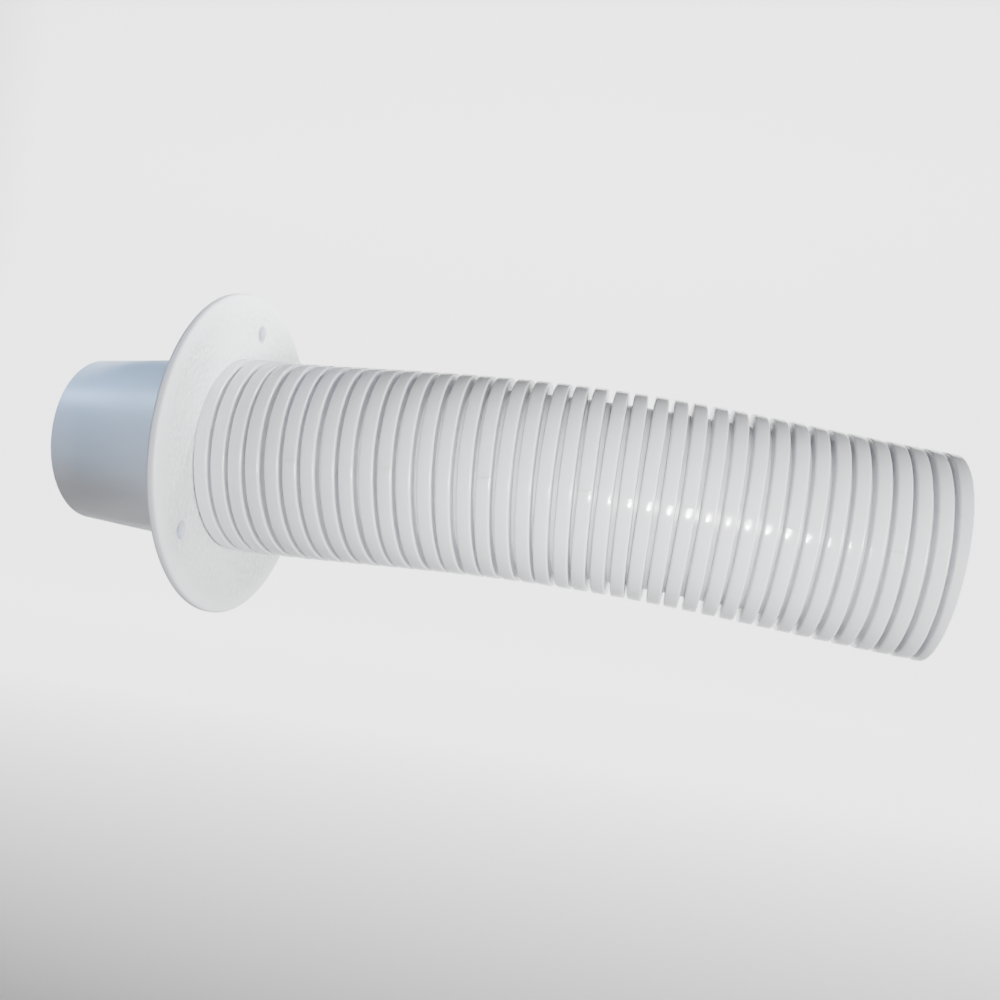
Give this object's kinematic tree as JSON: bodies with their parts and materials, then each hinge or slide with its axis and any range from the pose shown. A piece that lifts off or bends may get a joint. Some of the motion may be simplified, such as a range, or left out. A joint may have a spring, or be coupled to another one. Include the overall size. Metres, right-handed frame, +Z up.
{
  "type": "flanged bulkhead tube fitting with duct hose",
  "caption": "Round screw-down flange with a tapered rear tube and a short, flexible spiral-ribbed hose pushed on its front.",
  "frame": {"origin": "centre of the tube on the flange's mounting face", "axes": "+X along the tube from the mounting face towards the hose, +Z up"},
  "size_m": [0.2671, 0.1, 0.1],
  "materials": {
    "fitting": "satin white moulding with a pebble grain on the flange's front",
    "rib": "glossy white rigid PVC",
    "liner": "glossy white flexible PVC"
  },
  "bodies": {
    "fitting": {"rear_stub": "fitting", "bulkhead_flange": "fitting", "hose_spigot": "fitting", "hose_rib_00": "rib", "hose_liner": "liner"},
    "hose_part_01": {"hose_rib_01": "rib"},
    "hose_part_02": {"hose_rib_02": "rib"},
    "hose_part_03": {"hose_rib_03": "rib"},
    "hose_part_04": {"hose_rib_04": "rib"},
    "hose_part_05": {"hose_rib_05": "rib"},
    "hose_part_06": {"hose_rib_06": "rib"},
    "hose_part_07": {"hose_rib_07": "rib"},
    "hose_part_08": {"hose_rib_08": "rib"},
    "hose_part_09": {"hose_rib_09": "rib"},
    "hose_part_10": {"hose_rib_10": "rib"},
    "hose_part_11": {"hose_rib_11": "rib"},
    "hose_part_12": {"hose_rib_12": "rib"},
    "hose_part_13": {"hose_rib_13": "rib"},
    "hose_part_14": {"hose_rib_14": "rib"},
    "hose_part_15": {"hose_rib_15": "rib"},
    "hose_part_16": {"hose_rib_16": "rib"},
    "hose_part_17": {"hose_rib_17": "rib"},
    "hose_part_18": {"hose_rib_18": "rib"},
    "hose_part_19": {"hose_rib_19": "rib"},
    "hose_part_20": {"hose_rib_20": "rib"},
    "hose_part_21": {"hose_rib_21": "rib"},
    "hose_part_22": {"hose_rib_22": "rib"},
    "hose_part_23": {"hose_rib_23": "rib"},
    "hose_part_24": {"hose_rib_24": "rib"},
    "hose_part_25": {"hose_rib_25": "rib"},
    "hose_part_26": {"hose_rib_26": "rib"},
    "hose_part_27": {"hose_rib_27": "rib"},
    "hose_part_28": {"hose_rib_28": "rib"}
  },
  "joints": [
    {"name": "drop_bend_01", "type": "hinge", "parent": "fitting", "child": "hose_part_01", "pos_m": [0.0189, 0, 0], "axis": [0, 1, 0], "range_deg": [-0.8, 0.6], "stiffness_Nm_per_rad": 20, "deforming": ["hose_liner"]},
    {"name": "side_bend_01", "type": "hinge", "parent": "hose_part_01", "child": "hose_part_02", "pos_m": [0.02576, 0, 0.00013], "axis": [-0.0187, 0, 0.9998], "range_deg": [-2.1, 0.7], "stiffness_Nm_per_rad": 20, "deforming": ["hose_liner"]},
    {"name": "drop_bend_02", "type": "hinge", "parent": "hose_part_02", "child": "hose_part_03", "pos_m": [0.03262, 0.00013, 0.00026], "axis": [-0.0195, 0.9998, -0.0004], "range_deg": [-0.8, 0.6], "stiffness_Nm_per_rad": 20, "deforming": ["hose_liner"]},
    {"name": "side_bend_02", "type": "hinge", "parent": "hose_part_03", "child": "hose_part_04", "pos_m": [0.03948, 0.00027, 0.00045], "axis": [-0.0279, -0.0002, 0.9996], "range_deg": [-2.1, 0.7], "stiffness_Nm_per_rad": 20, "deforming": ["hose_liner"]},
    {"name": "drop_bend_03", "type": "hinge", "parent": "hose_part_04", "child": "hose_part_05", "pos_m": [0.04634, 0.00053, 0.00064], "axis": [-0.0378, 0.9993, -0.0009], "range_deg": [-0.8, 0.6], "stiffness_Nm_per_rad": 20, "deforming": ["hose_liner"]},
    {"name": "side_bend_03", "type": "hinge", "parent": "hose_part_05", "child": "hose_part_06", "pos_m": [0.05319, 0.00079, 0.00083], "axis": [-0.0283, -0.0002, 0.9996], "range_deg": [-2.1, 0.7], "stiffness_Nm_per_rad": 20, "deforming": ["hose_liner"]},
    {"name": "drop_bend_04", "type": "hinge", "parent": "hose_part_06", "child": "hose_part_07", "pos_m": [0.06004, 0.00116, 0.00103], "axis": [-0.055, 0.9985, -0.0014], "range_deg": [-0.8, 0.6], "stiffness_Nm_per_rad": 20, "deforming": ["hose_liner"]},
    {"name": "side_bend_04", "type": "hinge", "parent": "hose_part_07", "child": "hose_part_08", "pos_m": [0.06689, 0.00154, 0.00117], "axis": [-0.0207, 0.0002, 0.9998], "range_deg": [-2.1, 0.7], "stiffness_Nm_per_rad": 20, "deforming": ["hose_liner"]},
    {"name": "drop_bend_05", "type": "hinge", "parent": "hose_part_08", "child": "hose_part_09", "pos_m": [0.07373, 0.00203, 0.00131], "axis": [-0.071, 0.9975, -0.0017], "range_deg": [-0.8, 0.6], "stiffness_Nm_per_rad": 20, "deforming": ["hose_liner"]},
    {"name": "side_bend_05", "type": "hinge", "parent": "hose_part_09", "child": "hose_part_10", "pos_m": [0.08058, 0.00252, 0.00136], "axis": [-0.0067, 0.0012, 1], "range_deg": [-2.1, 0.7], "stiffness_Nm_per_rad": 20, "deforming": ["hose_liner"]},
    {"name": "drop_bend_06", "type": "hinge", "parent": "hose_part_10", "child": "hose_part_11", "pos_m": [0.08742, 0.00311, 0.0014], "axis": [-0.0858, 0.9963, -0.0018], "range_deg": [-0.8, 0.6], "stiffness_Nm_per_rad": 20, "deforming": ["hose_liner"]},
    {"name": "side_bend_06", "type": "hinge", "parent": "hose_part_11", "child": "hose_part_12", "pos_m": [0.09425, 0.00369, 0.00132], "axis": [0.0121, 0.0028, 0.9999], "range_deg": [-2.1, 0.7], "stiffness_Nm_per_rad": 20, "deforming": ["hose_liner"]},
    {"name": "drop_bend_07", "type": "hinge", "parent": "hose_part_12", "child": "hose_part_13", "pos_m": [0.10108, 0.00438, 0.00123], "axis": [-0.0995, 0.995, -0.0016], "range_deg": [-0.8, 0.6], "stiffness_Nm_per_rad": 20, "deforming": ["hose_liner"]},
    {"name": "side_bend_07", "type": "hinge", "parent": "hose_part_13", "child": "hose_part_14", "pos_m": [0.1079, 0.00506, 0.001], "axis": [0.0335, 0.005, 0.9994], "range_deg": [-2.1, 0.7], "stiffness_Nm_per_rad": 20, "deforming": ["hose_liner"]},
    {"name": "drop_bend_08", "type": "hinge", "parent": "hose_part_14", "child": "hose_part_15", "pos_m": [0.11472, 0.00583, 0.00077], "axis": [-0.112, 0.9937, -0.0012], "range_deg": [-0.8, 0.6], "stiffness_Nm_per_rad": 20, "deforming": ["hose_liner"]},
    {"name": "side_bend_08", "type": "hinge", "parent": "hose_part_15", "child": "hose_part_16", "pos_m": [0.12153, 0.0066, 0.00038], "axis": [0.0555, 0.0075, 0.9984], "range_deg": [-2.1, 0.7], "stiffness_Nm_per_rad": 20, "deforming": ["hose_liner"]},
    {"name": "drop_bend_09", "type": "hinge", "parent": "hose_part_16", "child": "hose_part_17", "pos_m": [0.12833, 0.00744, 0], "axis": [-0.1234, 0.9924, -0.0006], "range_deg": [-0.8, 0.6], "stiffness_Nm_per_rad": 20, "deforming": ["hose_liner"]},
    {"name": "side_bend_09", "type": "hinge", "parent": "hose_part_17", "child": "hose_part_18", "pos_m": [0.13512, 0.00828, -0.00052], "axis": [0.0757, 0.01, 0.9971], "range_deg": [-2.1, 0.7], "stiffness_Nm_per_rad": 20, "deforming": ["hose_liner"]},
    {"name": "drop_bend_10", "type": "hinge", "parent": "hose_part_18", "child": "hose_part_19", "pos_m": [0.1419, 0.0092, -0.00105], "axis": [-0.1336, 0.991, 0.0002], "range_deg": [-0.8, 0.6], "stiffness_Nm_per_rad": 20, "deforming": ["hose_liner"]},
    {"name": "side_bend_10", "type": "hinge", "parent": "hose_part_19", "child": "hose_part_20", "pos_m": [0.14867, 0.01011, -0.00169], "axis": [0.0922, 0.0122, 0.9957], "range_deg": [-2.1, 0.7], "stiffness_Nm_per_rad": 20, "deforming": ["hose_liner"]},
    {"name": "drop_bend_11", "type": "hinge", "parent": "hose_part_20", "child": "hose_part_21", "pos_m": [0.15543, 0.01109, -0.00233], "axis": [-0.1426, 0.9898, 0.0011], "range_deg": [-0.8, 0.6], "stiffness_Nm_per_rad": 20, "deforming": ["hose_liner"]},
    {"name": "side_bend_11", "type": "hinge", "parent": "hose_part_21", "child": "hose_part_22", "pos_m": [0.16219, 0.01206, -0.00304], "axis": [0.1031, 0.0138, 0.9946], "range_deg": [-2.1, 0.7], "stiffness_Nm_per_rad": 20, "deforming": ["hose_liner"]},
    {"name": "drop_bend_12", "type": "hinge", "parent": "hose_part_22", "child": "hose_part_23", "pos_m": [0.16894, 0.01309, -0.00375], "axis": [-0.1504, 0.9886, 0.0019], "range_deg": [-0.8, 0.6], "stiffness_Nm_per_rad": 20, "deforming": ["hose_liner"]},
    {"name": "side_bend_12", "type": "hinge", "parent": "hose_part_23", "child": "hose_part_24", "pos_m": [0.17568, 0.01412, -0.00449], "axis": [0.1068, 0.0143, 0.9942], "range_deg": [-2.1, 0.7], "stiffness_Nm_per_rad": 20, "deforming": ["hose_liner"]},
    {"name": "drop_bend_13", "type": "hinge", "parent": "hose_part_24", "child": "hose_part_25", "pos_m": [0.18242, 0.01519, -0.00523], "axis": [-0.1572, 0.9876, 0.0026], "range_deg": [-0.8, 0.6], "stiffness_Nm_per_rad": 20, "deforming": ["hose_liner"]},
    {"name": "side_bend_13", "type": "hinge", "parent": "hose_part_25", "child": "hose_part_26", "pos_m": [0.18916, 0.01626, -0.00594], "axis": [0.1021, 0.0136, 0.9947], "range_deg": [-2.1, 0.7], "stiffness_Nm_per_rad": 20, "deforming": ["hose_liner"]},
    {"name": "drop_bend_14", "type": "hinge", "parent": "hose_part_26", "child": "hose_part_27", "pos_m": [0.19589, 0.01738, -0.00664], "axis": [-0.1627, 0.9867, 0.0032], "range_deg": [-0.8, 0.6], "stiffness_Nm_per_rad": 20, "deforming": ["hose_liner"]},
    {"name": "side_bend_14", "type": "hinge", "parent": "hose_part_27", "child": "hose_part_28", "pos_m": [0.20264, 0.01849, -0.00726], "axis": [0.0885, 0.0113, 0.996], "range_deg": [-2.1, 0.7], "stiffness_Nm_per_rad": 20, "deforming": ["hose_liner"]}
  ],
  "couplings": [
    {"joint": "drop_bend_02", "follows": "drop_bend_01", "ratio": 1},
    {"joint": "side_bend_02", "follows": "side_bend_01", "ratio": 1},
    {"joint": "drop_bend_03", "follows": "drop_bend_01", "ratio": 1},
    {"joint": "side_bend_03", "follows": "side_bend_01", "ratio": 1},
    {"joint": "drop_bend_04", "follows": "drop_bend_01", "ratio": 1},
    {"joint": "side_bend_04", "follows": "side_bend_01", "ratio": 1},
    {"joint": "drop_bend_05", "follows": "drop_bend_01", "ratio": 1},
    {"joint": "side_bend_05", "follows": "side_bend_01", "ratio": 1},
    {"joint": "drop_bend_06", "follows": "drop_bend_01", "ratio": 1},
    {"joint": "side_bend_06", "follows": "side_bend_01", "ratio": 1},
    {"joint": "drop_bend_07", "follows": "drop_bend_01", "ratio": 1},
    {"joint": "side_bend_07", "follows": "side_bend_01", "ratio": 1},
    {"joint": "drop_bend_08", "follows": "drop_bend_01", "ratio": 1},
    {"joint": "side_bend_08", "follows": "side_bend_01", "ratio": 1},
    {"joint": "drop_bend_09", "follows": "drop_bend_01", "ratio": 1},
    {"joint": "side_bend_09", "follows": "side_bend_01", "ratio": 1},
    {"joint": "drop_bend_10", "follows": "drop_bend_01", "ratio": 1},
    {"joint": "side_bend_10", "follows": "side_bend_01", "ratio": 1},
    {"joint": "drop_bend_11", "follows": "drop_bend_01", "ratio": 1},
    {"joint": "side_bend_11", "follows": "side_bend_01", "ratio": 1},
    {"joint": "drop_bend_12", "follows": "drop_bend_01", "ratio": 1},
    {"joint": "side_bend_12", "follows": "side_bend_01", "ratio": 1},
    {"joint": "drop_bend_13", "follows": "drop_bend_01", "ratio": 1},
    {"joint": "side_bend_13", "follows": "side_bend_01", "ratio": 1},
    {"joint": "drop_bend_14", "follows": "drop_bend_01", "ratio": 1},
    {"joint": "side_bend_14", "follows": "side_bend_01", "ratio": 1}
  ]
}
